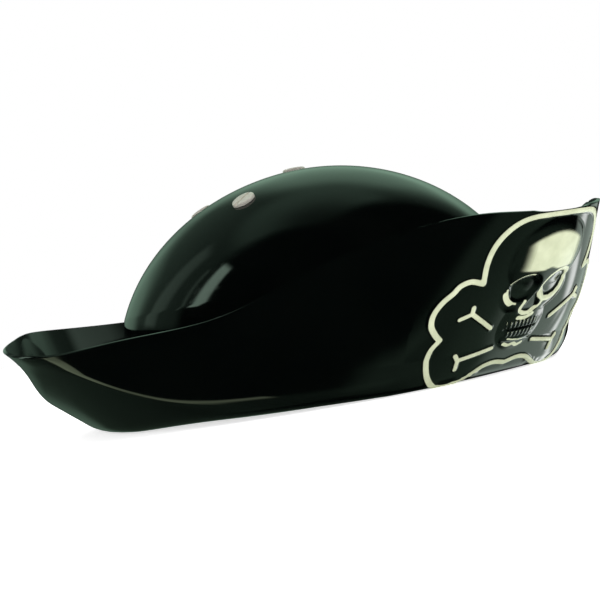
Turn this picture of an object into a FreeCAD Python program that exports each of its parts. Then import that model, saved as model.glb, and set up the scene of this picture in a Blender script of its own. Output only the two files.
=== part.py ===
import FreeCAD, Part
import math
import os

# Moulded plastic pirate hat.  Millimetres, +Z up, front towards -Y, wearer's
# left towards +X.  The origin is under the middle of the crown, on the plane
# that the brim's flat floor rests on.  Left and right are mirror images.

os.makedirs("parts", exist_ok=True)
doc = FreeCAD.newDocument("pirate_hat")
Vec = FreeCAD.Vector

# ---------------------------------------------------------------- dimensions
DIMENSIONS = {
    "sheet_thickness": 1.5,
    # crown: a low dome, a little longer behind its middle than in front of it
    "crown_half_width": 93,
    "crown_reach_front": 104,
    "crown_reach_back": 116,
    "crown_top": 111,
    "crown_shoulder_height": 48,
    "crown_cap_centre_height": 20,
    "crown_cap_swell": 1.045,
    "crown_shoulder_round": 12,
    "crown_tuck_in": 2.5,
    "crown_flange": 5,
    # brim
    "fold_round": 4,
    "fold_lift": 1.2,
    "opening_gap": 0.3,
    # binding screws, washers and barrel nuts
    "screw_head_diameter": 11.4,
    "screw_head_height": 1.6,
    "screw_slot_width": 1.4,
    "screw_slot_depth": 0.8,
    "screw_shank_diameter": 3,
    "screw_shank_length": 4.9,
    "post_diameter": 5,
    "post_length": 3.2,
    "nut_flange_diameter": 12,
    "nut_flange_height": 1.4,
    "washer_diameter": 12,
    "washer_thickness": 0.8,
    "washer_sag": 0.2,
    "screw_hole_diameter": 5.2,
    # straps and sweatband
    "strap_width": 14,
    "strap_thickness": 1.2,
    "strap_flat": 8,
    "strap_lap": 24,
    "band_half_width": 82,
    "band_half_length": 99,
    "band_centre_back": 5,
    "band_bottom": 5,
    "band_height": 30,
    "band_thickness": 1.6,
    "rivet_head_diameter": 7,
    "rivet_head_height": 1,
    "rivet_shank_diameter": 3,
    "pad_half_width": 45,
    "pad_thickness": 3,
    "pad_height": 24,
    # tools that cut holes and trim pieces
    "cutter_below": 12,
    "cutter_above": 3,
    "trim_width": 400,
}
SAME_HEIGHT = 0.01

# Brim stations on one half, from the front round to the back.  Each gives a
# point of the outside surface on the fold, on the crease above it and on the
# rim, and how far the wall bows outwards between crease and rim.
STATIONS = [
    ("front", (0, -108.5, 0), (0, -116, 9), (0, -162, 65), 0),
    ("emblem_side", (20, -108, 0), (21, -115.4, 9), (23, -159.5, 66), 1),
    ("front_corner", (41, -103.5, 0), (42, -110, 8.5), (44, -143, 68.5), 4),
    ("slope_top", (72, -84, 0), (76, -89, 9), (80, -98, 60), 1.5),
    ("slope_foot", (98, -56, 0), (104, -60, 11), (110, -64, 46), 0),
    ("tip_neck", (111, -25, 0), (128, -28, 19), (139, -29, 43), 0),
    ("tip_front", (115, 3, 0), (151, -1, 32), (161, -2, 41.5), 0),
    ("tip_back", (114, 28, 0), (144, 27, 29), (164, 26, 46), 0),
    ("back_side", (101, 63, 0), (127, 68, 22), (134, 70, 52), 0),
    ("back_corner", (72, 102, 0), (81, 116, 20), (88, 124, 54), 0),
    ("back", (0, 121, 0), (0, 133, 20), (0, 142, 51), 0),
]
ROWS = ("fold", "crease", "rim")

# Where the screws stand on the crown, as directions from the middle of the
# crown and shares of its plan radius.  Zero degrees is the back.
SCREWS = {
    "top": (0, 0.03),
    "right": (255, 0.55),
    "left": (105, 0.55),
    "back_right": (322, 0.51),
    "back_left": (38, 0.51),
}
# The strap under each screw runs down to the sweatband in this direction.
STRAP_DIRECTIONS = {"top": 180, "right": 255, "left": 105, "back_right": 322, "back_left": 38}

sheet = doc.addObject("Spreadsheet::Sheet", "dimensions")
cells = dict(DIMENSIONS)
for name, *points, bow in STATIONS:
    cells[f"{name}_bow"] = bow
    for row_name, point in zip(ROWS, points):
        for axis, value in zip("xyz", point):
            cells[f"{name}_{row_name}_{axis}"] = value
for line, (alias, value) in enumerate(cells.items(), start=1):
    sheet.set(f"A{line}", alias)
    sheet.set(f"B{line}", str(value))
    sheet.setAlias(f"B{line}", alias)
doc.recompute()


def dim(alias):
    return float(sheet.get(alias))


parts = []


def keep(part, label, placement=None):
    """Names a finished sub-part, puts it in its place and lists it for export."""
    part.Label = label
    if placement is not None:
        part.Placement = placement
    parts.append(part)
    return part


def feature(label, shape):
    """A sub-part whose shape is made by Part's own functions."""
    part = doc.addObject("Part::Feature", label)
    part.Shape = shape
    return keep(part, label)


def primitive(kind, name, height=0, **sizes):
    """A Part primitive whose sizes follow the sheet, raised by `height`."""
    shape = doc.addObject(kind, name)
    for prop, formula in sizes.items():
        shape.setExpression(prop, formula)
    if height:
        shape.setExpression("Placement.Base.z", height)
    return shape


def boolean(kind, name, base, tool):
    result = doc.addObject(kind, name)
    result.Base = base
    result.Tool = tool
    return result


# --------------------------------------------------------------------- crown
def dome_solid(shrink):
    """The crown's form, made smaller all round by `shrink`, as a closed solid."""
    half_width = dim("crown_half_width") - shrink
    shoulder = dim("crown_shoulder_height")
    centre = dim("crown_cap_centre_height")
    cap_radius = half_width * dim("crown_cap_swell")
    cap_height = dim("crown_top") - shrink - centre
    shoulder_radius = cap_radius * math.sqrt(1 - ((shoulder - centre) / cap_height) ** 2)
    middle = Vec(0, 0, centre)
    apex = Vec(0, 0, centre + cap_height)
    rim_of_cap = Vec(cap_radius, 0, centre)
    if cap_height > cap_radius:
        ellipse = Part.Ellipse(apex, rim_of_cap, middle)
    else:
        ellipse = Part.Ellipse(rim_of_cap, apex, middle)
    side = Vec(shoulder_radius, 0, shoulder)
    ends = sorted((ellipse.parameter(apex), ellipse.parameter(side)))
    cap = Part.Arc(ellipse, *ends).toShape()
    foot = Vec(half_width - dim("crown_tuck_in"), 0, 0)
    outline = [
        cap,
        Part.makeLine(side, foot),
        Part.makeLine(foot, Vec(0, 0, 0)),
        Part.makeLine(Vec(0, 0, 0), apex),
    ]
    face = Part.Face(Part.Wire(Part.__sortEdges__(outline)))
    halves = []
    for start, reach in ((180, dim("crown_reach_front")), (0, dim("crown_reach_back"))):
        turned = face.copy()
        turned.rotate(Vec(0, 0, 0), Vec(0, 0, 1), start)
        half = turned.revolve(Vec(0, 0, 0), Vec(0, 0, 1), 180)
        shoulder_edges = [
            edge for edge in half.Edges
            if edge.Length > half_width
            and abs(edge.BoundBox.ZMin - shoulder) < SAME_HEIGHT
            and abs(edge.BoundBox.ZMax - shoulder) < SAME_HEIGHT
        ]
        half = half.makeFillet(dim("crown_shoulder_round"), shoulder_edges)
        stretch = FreeCAD.Matrix()
        stretch.scale(1, (reach - shrink) / half_width, 1)
        halves.append(half.transformGeometry(stretch))
    return halves[0].fuse(halves[1])


def crown_point(turn, share):
    """A point of the crown's outside and the direction straight out of it.

    `turn` is the direction in plan, zero at the back, and `share` is how far
    out the point lies, as a share of the crown's plan."""
    across = dim("crown_half_width")
    along = math.cos(math.radians(turn)) * share
    reach = dim("crown_reach_back") if along >= 0 else dim("crown_reach_front")
    swell = dim("crown_cap_swell")
    centre = dim("crown_cap_centre_height")
    cap_height = dim("crown_top") - centre
    x = across * math.sin(math.radians(turn)) * share
    y = reach * along
    rise = cap_height * math.sqrt(1 - (share / swell) ** 2)
    normal = Vec(x / (swell * across) ** 2, y / (swell * reach) ** 2, rise / cap_height ** 2)
    return Vec(x, y, centre + rise), normal.normalize()


def screw_placement(name):
    point, normal = crown_point(*SCREWS[name])
    return FreeCAD.Placement(point, FreeCAD.Rotation(Vec(0, 0, 1), normal))


def cutter(placement, diameter):
    """A cylinder that cuts a hole along the Z axis of a placement."""
    below = dim("cutter_below")
    cylinder = Part.makeCylinder(diameter / 2, below + dim("cutter_above"), Vec(0, 0, -below))
    cylinder.Placement = placement
    return cylinder


thickness = dim("sheet_thickness")
outer_dome = dome_solid(0)
inner_dome = dome_solid(thickness)


def foot_plate(grow, low, high):
    """A flat plate with the outline of the crown's foot, grown by `grow`."""
    foot_share = 1 - dim("crown_tuck_in") / dim("crown_half_width")
    half_width = dim("crown_half_width") * foot_share + grow
    arcs = []
    for reach, way in ((dim("crown_reach_front"), -1), (dim("crown_reach_back"), 1)):
        tip = Vec(0, way * (reach * foot_share + grow), low)
        side = Vec(-way * half_width, 0, low)
        ellipse = Part.Ellipse(tip, side, Vec(0, 0, low))
        arcs.append(Part.Arc(ellipse, -math.pi / 2, math.pi / 2).toShape())
    return Part.Face(Part.Wire(arcs)).extrude(Vec(0, 0, high - low))


def crown_shell():
    """A thin dome with a narrow flange turned out at its foot."""
    flange = foot_plate(dim("crown_flange"), thickness, 2 * thickness)
    trim = dim("trim_width")
    below = Part.makeBox(trim, trim, thickness, Vec(-trim / 2, -trim / 2, 0))
    shell = outer_dome.cut(below).fuse(flange).cut(inner_dome)
    for name in SCREWS:
        shell = shell.cut(cutter(screw_placement(name), dim("screw_hole_diameter")))
    return shell


feature("crown_shell", crown_shell())


# ---------------------------------------------------------------------- brim
def row_points(row_name):
    """One row of brim points on the near half, front to back."""
    return [
        Vec(*(dim(f"{name}_{row_name}_{axis}") for axis in "xyz"))
        for name, *_ in STATIONS
    ]


def closed_curve(points):
    """A smooth closed curve through half a row of points and its mirror image."""
    mirrored = [Vec(-p.x, p.y, p.z) for p in points[1:-1]]
    curve = Part.BSplineCurve()
    curve.interpolate(Points=points + mirrored[::-1], PeriodicFlag=True)
    return Part.Wire([curve.toShape()])


def outward(point):
    """The level direction away from the crown's middle."""
    return Vec(point.x, point.y, 0).normalize()


def inner_step(before, after):
    """One millimetre inwards, square to the wall that rises from one point to another."""
    along = after - before
    level = outward(before)
    run = Vec(along.x, along.y, 0).Length
    return Vec(-level.x * along.z, -level.y * along.z, run).normalize()


def brim_wall():
    """The turned-up brim, from the edge of its flat floor to the rim."""
    fold, crease, rim = (row_points(name) for name in ROWS)
    floor_edge = [p - outward(p) * dim("fold_round") for p in fold]
    fold = [p + Vec(0, 0, dim("fold_lift")) for p in fold]
    bows = [dim(f"{name}_bow") for name, *_ in STATIONS]
    middle = [
        (low + high) * 0.5 - inner_step(low, high) * bow
        for low, high, bow in zip(crease, rim, bows)
    ]
    outside = [floor_edge, fold, crease, middle, rim]
    inside = [[p + Vec(0, 0, thickness) for p in floor_edge]]
    for below, row, above in zip(outside, outside[1:], outside[2:] + [rim]):
        inside.append([
            point + inner_step(low, high) * thickness
            for point, low, high in zip(row, below, above)
        ])
    outer_wires = [closed_curve(row) for row in outside]
    inner_wires = [closed_curve(row) for row in inside]
    faces = Part.makeLoft(outer_wires).Faces + Part.makeLoft(inner_wires).Faces
    for end in (0, -1):
        strip = Part.makeRuledSurface(outer_wires[end].Edges[0], inner_wires[end].Edges[0])
        faces += strip.Faces
    shell = Part.makeShell(faces)
    shell.sewShape()
    return Part.makeSolid(shell), outer_wires[0]


def brim_shell():
    wall, floor_edge = brim_wall()
    floor = Part.Face(floor_edge).extrude(Vec(0, 0, thickness))
    hole = foot_plate(dim("opening_gap") - thickness, -thickness, 2 * thickness)
    return wall.fuse(floor.cut(hole))


feature("brim_shell", brim_shell())


# ----------------------------------------------------------------- sweatband
def oval(name, half_length, half_width):
    """An oval prism the height of the sweatband, standing on its lower edge."""
    edge = primitive(
        "Part::Ellipse", f"{name}_edge", MajorRadius=half_length, MinorRadius=half_width)
    edge.Placement = FreeCAD.Placement(
        Vec(0, dim("band_centre_back"), dim("band_bottom")),
        FreeCAD.Rotation(Vec(0, 0, 1), 90))
    prism = doc.addObject("Part::Extrusion", name)
    prism.Base = edge
    prism.DirMode = "Custom"
    prism.Dir = Vec(0, 0, 1)
    prism.Solid = True
    prism.setExpression("LengthFwd", "dimensions.band_height")
    return prism


def band_point(turn):
    """A point half way up the sweatband's outside and the way out of it."""
    half_width = dim("band_half_width") + dim("band_thickness")
    half_length = dim("band_half_length") + dim("band_thickness")
    x = half_width * math.sin(math.radians(turn))
    y = half_length * math.cos(math.radians(turn))
    normal = Vec(x / half_width ** 2, y / half_length ** 2, 0)
    height = dim("band_bottom") + dim("band_height") / 2
    return Vec(x, y + dim("band_centre_back"), height), normal.normalize()


def rivet_placement(name):
    point, normal = band_point(STRAP_DIRECTIONS[name])
    return FreeCAD.Placement(point, FreeCAD.Rotation(Vec(0, 0, 1), normal))


def rivet_holes():
    holes = []
    for name in SCREWS:
        holes.append(cutter(rivet_placement(name), dim("rivet_shank_diameter")))
    return Part.makeCompound(holes)


holes = doc.addObject("Part::Feature", "rivet_holes")
holes.Shape = rivet_holes()
band_ring = boolean(
    "Part::Cut", "band_ring",
    oval("band_outside", "dimensions.band_half_length + dimensions.band_thickness",
         "dimensions.band_half_width + dimensions.band_thickness"),
    oval("band_inside", "dimensions.band_half_length", "dimensions.band_half_width"))
keep(boolean("Part::Cut", "sweatband_cut", band_ring, holes), "sweatband")


def forehead_pad():
    """A soft pad that lines the front of the sweatband."""
    ring = boolean(
        "Part::Cut", "pad_ring",
        oval("pad_outside", "dimensions.band_half_length", "dimensions.band_half_width"),
        oval("pad_inside", "dimensions.band_half_length - dimensions.pad_thickness",
             "dimensions.band_half_width - dimensions.pad_thickness"))
    block = primitive(
        "Part::Box", "pad_block", Length="2 * dimensions.pad_half_width",
        Width="dimensions.band_half_length", Height="dimensions.pad_height")
    block.Placement.Base = Vec(
        -dim("pad_half_width"),
        dim("band_centre_back") - dim("band_half_length"),
        dim("band_bottom") + (dim("band_height") - dim("pad_height")) / 2)
    return boolean("Part::Common", "pad_common", ring, block)


keep(forehead_pad(), "forehead_pad")


# -------------------------------------------------------------------- straps
def strap_section(centre, across, up):
    """A rectangle of webbing: `across` its width, `up` through its thickness."""
    side = across * (dim("strap_width") / 2)
    thick = up * dim("strap_thickness")
    return [centre - side, centre + side, centre + side + thick, centre - side + thick]


def strip_solid(sections):
    """A solid whose straight-sided strips join each section to the next."""
    faces = []
    for end in (sections[0], sections[-1]):
        faces.append(Part.Face(Part.makePolygon(end + end[:1])))
    for here, there in zip(sections, sections[1:]):
        for corner in range(4):
            following = (corner + 1) % 4
            near = Part.makeLine(here[corner], here[following])
            far = Part.makeLine(there[corner], there[following])
            faces += Part.makeRuledSurface(near, far).Faces
    shell = Part.makeShell(faces)
    shell.sewShape()
    solid = Part.makeSolid(shell)
    if solid.Volume < 0:
        solid.reverse()
    return solid


def strap(name):
    """Webbing from under a screw, slanting down to the outside of the sweatband."""
    point, normal = crown_point(*SCREWS[name])
    band_middle, band_normal = band_point(STRAP_DIRECTIONS[name])
    depth = thickness + dim("washer_sag") + dim("washer_thickness") + dim("strap_thickness")
    under_screw = point - normal * depth
    band_across = Vec(0, 0, 1).cross(band_normal)
    way = normal.cross(band_across).normalize()
    if way.z > 0 or way.dot(band_normal) < 0:
        way = -way
    across = way.cross(normal) * -1
    if across.dot(band_across) < 0:
        across = -across
    flat = dim("strap_flat")
    down = Vec(0, 0, 1) * (dim("strap_lap") / 2)
    sections = [
        strap_section(under_screw - way * flat, across, normal),
        strap_section(under_screw + way * flat, across, normal),
        strap_section(band_middle + down, band_across, band_normal),
        strap_section(band_middle - down, band_across, band_normal),
    ]
    webbing = strip_solid(sections)
    webbing = webbing.cut(cutter(screw_placement(name), dim("post_diameter")))
    return webbing.cut(holes.Shape)


for name in SCREWS:
    feature(f"strap_{name}", strap(name))


# ------------------------------------------------- screws, washers and rivets
def disc(name, diameter, height, base="0"):
    """A cylinder on its own Z axis with sizes from the sheet."""
    return primitive(
        "Part::Cylinder", name, height=base,
        Radius=f"{diameter} / 2", Height=height)


def binding_screw(name):
    """A slotted head with a rounded edge, on a plain shank."""
    head = disc(f"head_{name}", "dimensions.screw_head_diameter", "dimensions.screw_head_height")
    shank = disc(
        f"shank_{name}", "dimensions.screw_shank_diameter",
        "dimensions.screw_shank_length", "-dimensions.screw_shank_length")
    blank = boolean("Part::Fuse", f"blank_{name}", head, shank)
    slot = primitive(
        "Part::Box", f"slot_{name}", height="dimensions.screw_head_height - dimensions.screw_slot_depth",
        Length="dimensions.screw_head_diameter * 2", Width="dimensions.screw_slot_width",
        Height="dimensions.screw_slot_depth * 2")
    slot.setExpression("Placement.Base.x", "-dimensions.screw_head_diameter")
    slot.setExpression("Placement.Base.y", "-dimensions.screw_slot_width / 2")
    return boolean("Part::Cut", f"screw_cut_{name}", blank, slot)


def barrel_nut(name):
    """A flanged post that the screw threads into from outside."""
    flange = disc(f"flange_{name}", "dimensions.nut_flange_diameter", "dimensions.nut_flange_height")
    post = disc(
        f"post_{name}", "dimensions.post_diameter",
        "dimensions.nut_flange_height + dimensions.post_length")
    blank = boolean("Part::Fuse", f"nut_blank_{name}", flange, post)
    bore = disc(f"bore_{name}", "dimensions.screw_shank_diameter",
                "dimensions.cutter_below", "-dimensions.cutter_above")
    return boolean("Part::Cut", f"nut_cut_{name}", blank, bore)


def washer(name):
    ring = disc(f"ring_{name}", "dimensions.washer_diameter", "dimensions.washer_thickness")
    bore = disc(f"washer_bore_{name}", "dimensions.post_diameter",
                "dimensions.cutter_below", "-dimensions.cutter_above")
    return boolean("Part::Cut", f"washer_cut_{name}", ring, bore)


def rivet(name):
    """Two flat heads that clamp the strap against the sweatband."""
    outer = disc(f"outer_head_{name}", "dimensions.rivet_head_diameter",
                 "dimensions.rivet_head_height", "dimensions.strap_thickness")
    inner = disc(f"inner_head_{name}", "dimensions.rivet_head_diameter", "dimensions.rivet_head_height",
                 "-dimensions.band_thickness - dimensions.rivet_head_height")
    shank = disc(f"rivet_shank_{name}", "dimensions.rivet_shank_diameter",
                 "dimensions.band_thickness + dimensions.strap_thickness", "-dimensions.band_thickness")
    heads = boolean("Part::Fuse", f"rivet_heads_{name}", outer, shank)
    return boolean("Part::Fuse", f"rivet_fuse_{name}", heads, inner)


def lowered(placement, depth):
    """The same placement, moved down its own axis."""
    return placement.multiply(FreeCAD.Placement(Vec(0, 0, -depth), FreeCAD.Rotation()))


under_shell = thickness + dim("washer_sag")
under_washer = under_shell + dim("washer_thickness")
under_strap = under_washer + dim("strap_thickness")
for name in SCREWS:
    place = screw_placement(name)
    keep(binding_screw(name), f"screw_{name}", place)
    keep(washer(name), f"washer_{name}", lowered(place, under_washer))
    keep(barrel_nut(name), f"barrel_nut_{name}",
         lowered(place, under_strap + dim("nut_flange_height")))
    keep(rivet(name), f"rivet_{name}", rivet_placement(name))

# -------------------------------------------------------------------- export
doc.recompute()
for item in doc.Objects:
    if "Invalid" in item.State or "Error" in item.State:
        raise RuntimeError(f"{item.Label} failed: {item.State}")
for part in parts:
    shape = part.Shape
    if shape.isNull() or not shape.isValid():
        raise RuntimeError(f"{part.Label} is not a valid shape")
    print(f"{part.Label:24s} solids {len(shape.Solids)}  volume {shape.Volume:10.1f} mm3")
    shape.exportStep(f"parts/{part.Label}.step")
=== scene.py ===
# %% [markdown]
# A plastic pirate hat, modelled piece by piece around its fixed frame.
# The frame gives every piece its place, so all that follows is in metres and
# in the frame's own axes: the front of the hat looks along -Y, up is +Z.

# %% Load the frame
import math
import bmesh
import bpy
import numpy as np
from mathutils import Matrix, Vector


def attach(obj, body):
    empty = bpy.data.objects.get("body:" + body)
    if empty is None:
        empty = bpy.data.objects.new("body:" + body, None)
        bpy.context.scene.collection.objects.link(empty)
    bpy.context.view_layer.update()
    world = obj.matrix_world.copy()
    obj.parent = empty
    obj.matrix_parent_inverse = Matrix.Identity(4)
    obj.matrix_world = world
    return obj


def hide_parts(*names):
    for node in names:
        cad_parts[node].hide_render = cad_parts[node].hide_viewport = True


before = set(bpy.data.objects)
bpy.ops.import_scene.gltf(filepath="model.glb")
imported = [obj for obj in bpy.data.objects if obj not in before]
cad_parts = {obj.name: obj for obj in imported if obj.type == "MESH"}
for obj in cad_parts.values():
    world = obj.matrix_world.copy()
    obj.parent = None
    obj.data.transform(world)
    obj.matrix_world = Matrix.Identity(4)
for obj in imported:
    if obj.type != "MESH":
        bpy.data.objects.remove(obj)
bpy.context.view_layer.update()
bpy.ops.object.select_all(action="DESELECT")
MM = 0.001

# %% [markdown]
# The camera comes first, because everything is judged through it.  It stands
# at the height of the brim, off the hat's right front quarter, looks level
# and is tipped a little, so that level lines climb to the right.

# %% Camera
camera_data = bpy.data.cameras.new("camera")
camera_data.lens = 84
camera_data.sensor_width = 36
camera = bpy.data.objects.new("camera", camera_data)
bpy.context.scene.collection.objects.link(camera)
CAMERA_PLACE = Vector((-0.4580, -0.5295, 0.0470))
CAMERA_TURN = math.radians(-40)
CAMERA_TIP = math.radians(-10)
camera.matrix_world = (
    Matrix.Translation(CAMERA_PLACE)
    @ Matrix.Rotation(CAMERA_TURN, 4, "Z")
    @ Matrix.Rotation(math.radians(90), 4, "X")
    @ Matrix.Rotation(CAMERA_TIP, 4, "Z")
)
camera_data.clip_start = 0.01
bpy.context.scene.camera = camera
print("camera looks along", tuple(round(v, 3) for v in -camera.matrix_world.col[2].xyz))

# %% [markdown]
# Three small helpers serve every material: one turns a hex colour to linear
# light, one adds a node with its settings and links, and one starts a
# material.  The pieces have helpers too.  The main one turns a grid primitive
# into a curved sheet, because every thin-walled piece here is one sheet bent
# to a formula, and the last one hands a finished piece to the frame.

# %% Material helpers
def colour(code):
    """A hex colour as linear light."""
    parts = [int(code[i:i + 2], 16) / 255 for i in (1, 3, 5)]
    linear = [p / 12.92 if p <= 0.04045 else ((p + 0.055) / 1.055) ** 2.4 for p in parts]
    return (*linear, 1.0)


def add_node(tree, kind, links=None, **settings):
    """A node with its settings; links maps its sockets to values or to other sockets."""
    node = tree.nodes.new(kind)
    for name, value in settings.items():
        setattr(node, name, value)
    for name, value in (links or {}).items():
        if isinstance(value, bpy.types.NodeSocket):
            tree.links.new(value, node.inputs[name])
        else:
            node.inputs[name].default_value = value
    return node


def start_material(name):
    """An empty node material with a Principled shader wired to its output."""
    material = bpy.data.materials.new(name)
    material.use_nodes = True
    tree = material.node_tree
    tree.nodes.clear()
    shader = add_node(tree, "ShaderNodeBsdfPrincipled")
    add_node(tree, "ShaderNodeOutputMaterial", {"Surface": shader.outputs[0]})
    return material, tree, shader


# %% Piece helpers
SAME_PLACE = 0.02 * MM


def only(piece):
    """Makes one piece the only selected and the active one."""
    bpy.ops.object.select_all(action="DESELECT")
    piece.select_set(True)
    bpy.context.view_layer.objects.active = piece


def curved_sheet(name, places, wrap=False):
    """A grid primitive moved to `places`, an array of rows x columns x 3 in metres."""
    rows, columns = places.shape[:2]
    if wrap:
        places = np.concatenate([places, places[:, :1]], axis=1)
        columns += 1
    bpy.ops.object.select_all(action="DESELECT")
    bpy.ops.mesh.primitive_grid_add(
        x_subdivisions=columns - 1, y_subdivisions=rows - 1, size=1, calc_uvs=True)
    piece = bpy.context.object
    piece.name = piece.data.name = name
    piece.data.vertices.foreach_set("co", places.astype(np.float32).ravel())
    piece.data.update()
    return piece


def merge_and_turn_out(piece, inside_out=False):
    """Merges the seam and makes every face point outwards."""
    only(piece)
    bpy.ops.object.mode_set(mode="EDIT")
    bpy.ops.mesh.select_all(action="SELECT")
    bpy.ops.mesh.remove_doubles(threshold=SAME_PLACE)
    bpy.ops.mesh.normals_make_consistent(inside=inside_out)
    bpy.ops.object.mode_set(mode="OBJECT")


def apply_modifier(piece, kind, **settings):
    """Adds one modifier with its settings and applies it."""
    modifier = piece.modifiers.new(kind.lower(), kind)
    for name, value in settings.items():
        setattr(modifier, name, value)
    bpy.context.view_layer.objects.active = piece
    bpy.ops.object.modifier_apply(modifier=modifier.name)


def smooth(piece, degrees):
    """Smooth shading, with a crisp edge where faces meet at more than `degrees`."""
    only(piece)
    bpy.ops.object.shade_smooth_by_angle(angle=math.radians(degrees))


def hand_over(piece, slot_name, material, *nodes):
    """Gives a finished piece its material and its body, and hides the frame's nodes that it stands
    for.
    """
    piece.data.materials.clear()
    piece.data.materials.append(material)
    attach(piece, "root")
    if nodes:
        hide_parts(*nodes)
    piece.data.calc_loop_triangles()
    print(piece.name, len(piece.data.loop_triangles), "triangles")


# %% [markdown]
# The brim is one vacuum-formed sheet: a flat floor round the opening, a fold
# where it turns up, a crease a little higher, and a tall wall that leans out
# to the rim.  It is drawn the way a pattern cutter would: eleven stations on
# one half, each with a point on the fold, the crease and the rim.  A smooth
# closed curve goes through each row of points and its mirror image.

# %% Brim stations
# name: fold, crease, rim (mm), how far the wall bows out, how softly it creases
STATIONS = {
    "front":        ((0, -108.5, 0), (0, -116, 9), (0, -162, 65), 0, 14),
    "emblem_side":  ((20, -108, 0), (21, -115.4, 9), (23, -159.5, 66), 1, 13),
    "front_corner": ((41, -103.5, 0), (42, -110, 8.5), (44, -143, 68.5), 4, 11),
    "slope_top":    ((72, -84, 1), (76, -89, 9), (80, -98, 60), 1.5, 7),
    "slope_foot":   ((98, -56, 2.2), (104, -60, 11), (110, -64, 46), 0, 4),
    "tip_neck":     ((111, -25, 2.2), (128, -28, 17), (139, -29, 43), 0, 3),
    "tip_front":    ((115, 3, 1), (153, -2, 34), (161, -2, 41.5), 0, 3),
    "tip_back":     ((114, 28, 0), (149, 27, 33), (164, 26, 46), 0, 5),
    "back_side":    ((101, 63, 0), (127, 68, 22), (134, 70, 52), 0, 7),
    "back_corner":  ((72, 102, 0), (81, 116, 20), (88, 124, 54), 0, 10),
    "back":         ((0, 121, 0), (0, 133, 20), (0, 142, 51), 0, 12),
}


def with_mirror(values, flip_x=True):
    """Half a row, then the other half, and the first value again."""
    half = np.array(values, float)
    other = half[-2:0:-1].copy()
    if flip_x:
        other[:, 0] *= -1
    return np.vstack([half, other, half[:1]])


fold_row, crease_row, rim_row = (
    with_mirror([station[i] for station in STATIONS.values()]) for i in range(3))
softness_row = with_mirror([station[3:] for station in STATIONS.values()], flip_x=False)
# The stations are spaced by the square root of the distance between them.
spans = sum(
    np.sqrt(np.linalg.norm(np.diff(row, axis=0), axis=1))
    for row in (fold_row, crease_row, rim_row)) / 3
knots = np.r_[0, np.cumsum(spans)]
print("brim stations", len(STATIONS), "round a path of", round(float(knots[-1]), 1))


# %% Smooth closed curve
def closed_curve(values, where):
    """A cubic curve through `values`, closed on itself, at the places `where`."""
    step = np.diff(knots)
    count = len(step)
    slope = np.diff(values, axis=0) / step[:, None]
    matrix = np.zeros((count, count))
    target = np.zeros((count, values.shape[1]))
    for i in range(count):
        before, after = (i - 1) % count, (i + 1) % count
        matrix[i, before] += step[before]
        matrix[i, i] += 2 * (step[before] + step[i])
        matrix[i, after] += step[i]
        target[i] = 6 * (slope[i] - slope[before])
    bend = np.linalg.solve(matrix, target)
    bend = np.vstack([bend, bend[:1]])
    k = np.clip(np.searchsorted(knots, where, side="right") - 1, 0, count - 1)
    left = (where - knots[k])[:, None]
    right = (knots[k + 1] - where)[:, None]
    span = step[k][:, None]
    return (
        (bend[k] * right**3 + bend[k + 1] * left**3) / (6 * span)
        + (values[k] / span - bend[k] * span / 6) * right
        + (values[k + 1] / span - bend[k + 1] * span / 6) * left)


# %% [markdown]
# The sheet is then filled in row by row.  Where the real sheet bends it has a
# radius, so the fold and the crease are rounded with short curves, tight near
# the side tips and soft at the front and back.

# %% Brim surface
OPENING_HALF_WIDTH = 89.0
OPENING_REACH_FRONT = 99.7
OPENING_REACH_BACK = 111.4
FOLD_ROUND = 6
FOLD_LEAST_HEIGHT = 0.6
FLOOR_ROWS, FOLD_ROWS, LIP_ROWS, CREASE_ROWS, WALL_ROWS = 3, 5, 4, 22, 104


def lengths(vectors):
    return np.linalg.norm(vectors, axis=-1, keepdims=True)


def unit(vectors):
    return vectors / lengths(vectors)


def shares(count, to_end=False):
    """Even steps from 0 towards 1; only the last row of the sheet reaches 1."""
    return np.linspace(0, 1, count, endpoint=to_end)


def round_corner(start, corner, end, share):
    """A short curve that leaves the corner out."""
    return start * (1 - share) ** 2 + 2 * corner * share * (1 - share) + end * share**2


def brim_places(columns):
    """The outside surface in mm, as rows from the opening up to the rim."""
    fold = closed_curve(fold_row, columns)
    fold[:, 2] = np.maximum(fold[:, 2], FOLD_LEAST_HEIGHT)
    crease = closed_curve(crease_row, columns)
    rim = closed_curve(rim_row, columns)
    bow, soft = np.split(closed_curve(softness_row, columns), 2, axis=1)
    angle = np.arctan2(fold[:, 0], fold[:, 1])
    reach = np.where(np.cos(angle) < 0, OPENING_REACH_FRONT, OPENING_REACH_BACK)
    radius = 1 / np.hypot(np.sin(angle) / OPENING_HALF_WIDTH, np.cos(angle) / reach)
    opening = np.stack([radius * np.sin(angle), radius * np.cos(angle), 0 * radius], 1)
    # No curve may take more than its share of the flat stretches beside it.
    lip = lengths(crease - fold)
    fold_reach = np.minimum(np.minimum(FOLD_ROUND, 0.8 * lengths(fold - opening)), 0.4 * lip)
    crease_reach = np.minimum(np.minimum(soft, 0.5 * lip), 0.4 * lengths(rim - crease))
    fold_in = fold + unit(opening - fold) * fold_reach
    fold_out = fold + unit(crease - fold) * fold_reach
    crease_in = crease + unit(fold - crease) * crease_reach
    crease_out = crease + unit(rim - crease) * crease_reach
    # The wall bows at right angles to its own slope.
    wall = rim - crease
    out = unit(np.hstack([unit(crease[:, :2]) * wall[:, 2:], -lengths(wall[:, :2])]))
    rows = [opening + (fold_in - opening) * s for s in shares(FLOOR_ROWS)]
    rows += [round_corner(fold_in, fold, fold_out, s) for s in shares(FOLD_ROWS)]
    rows += [fold_out + (crease_in - fold_out) * s for s in shares(LIP_ROWS)]
    rows += [round_corner(crease_in, crease, crease_out, s) for s in shares(CREASE_ROWS)]
    rows += [crease_out + (rim - crease_out) * s + out * bow * 4 * s * (1 - s)
             for s in shares(WALL_ROWS, to_end=True)]
    return np.array(rows)


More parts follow.
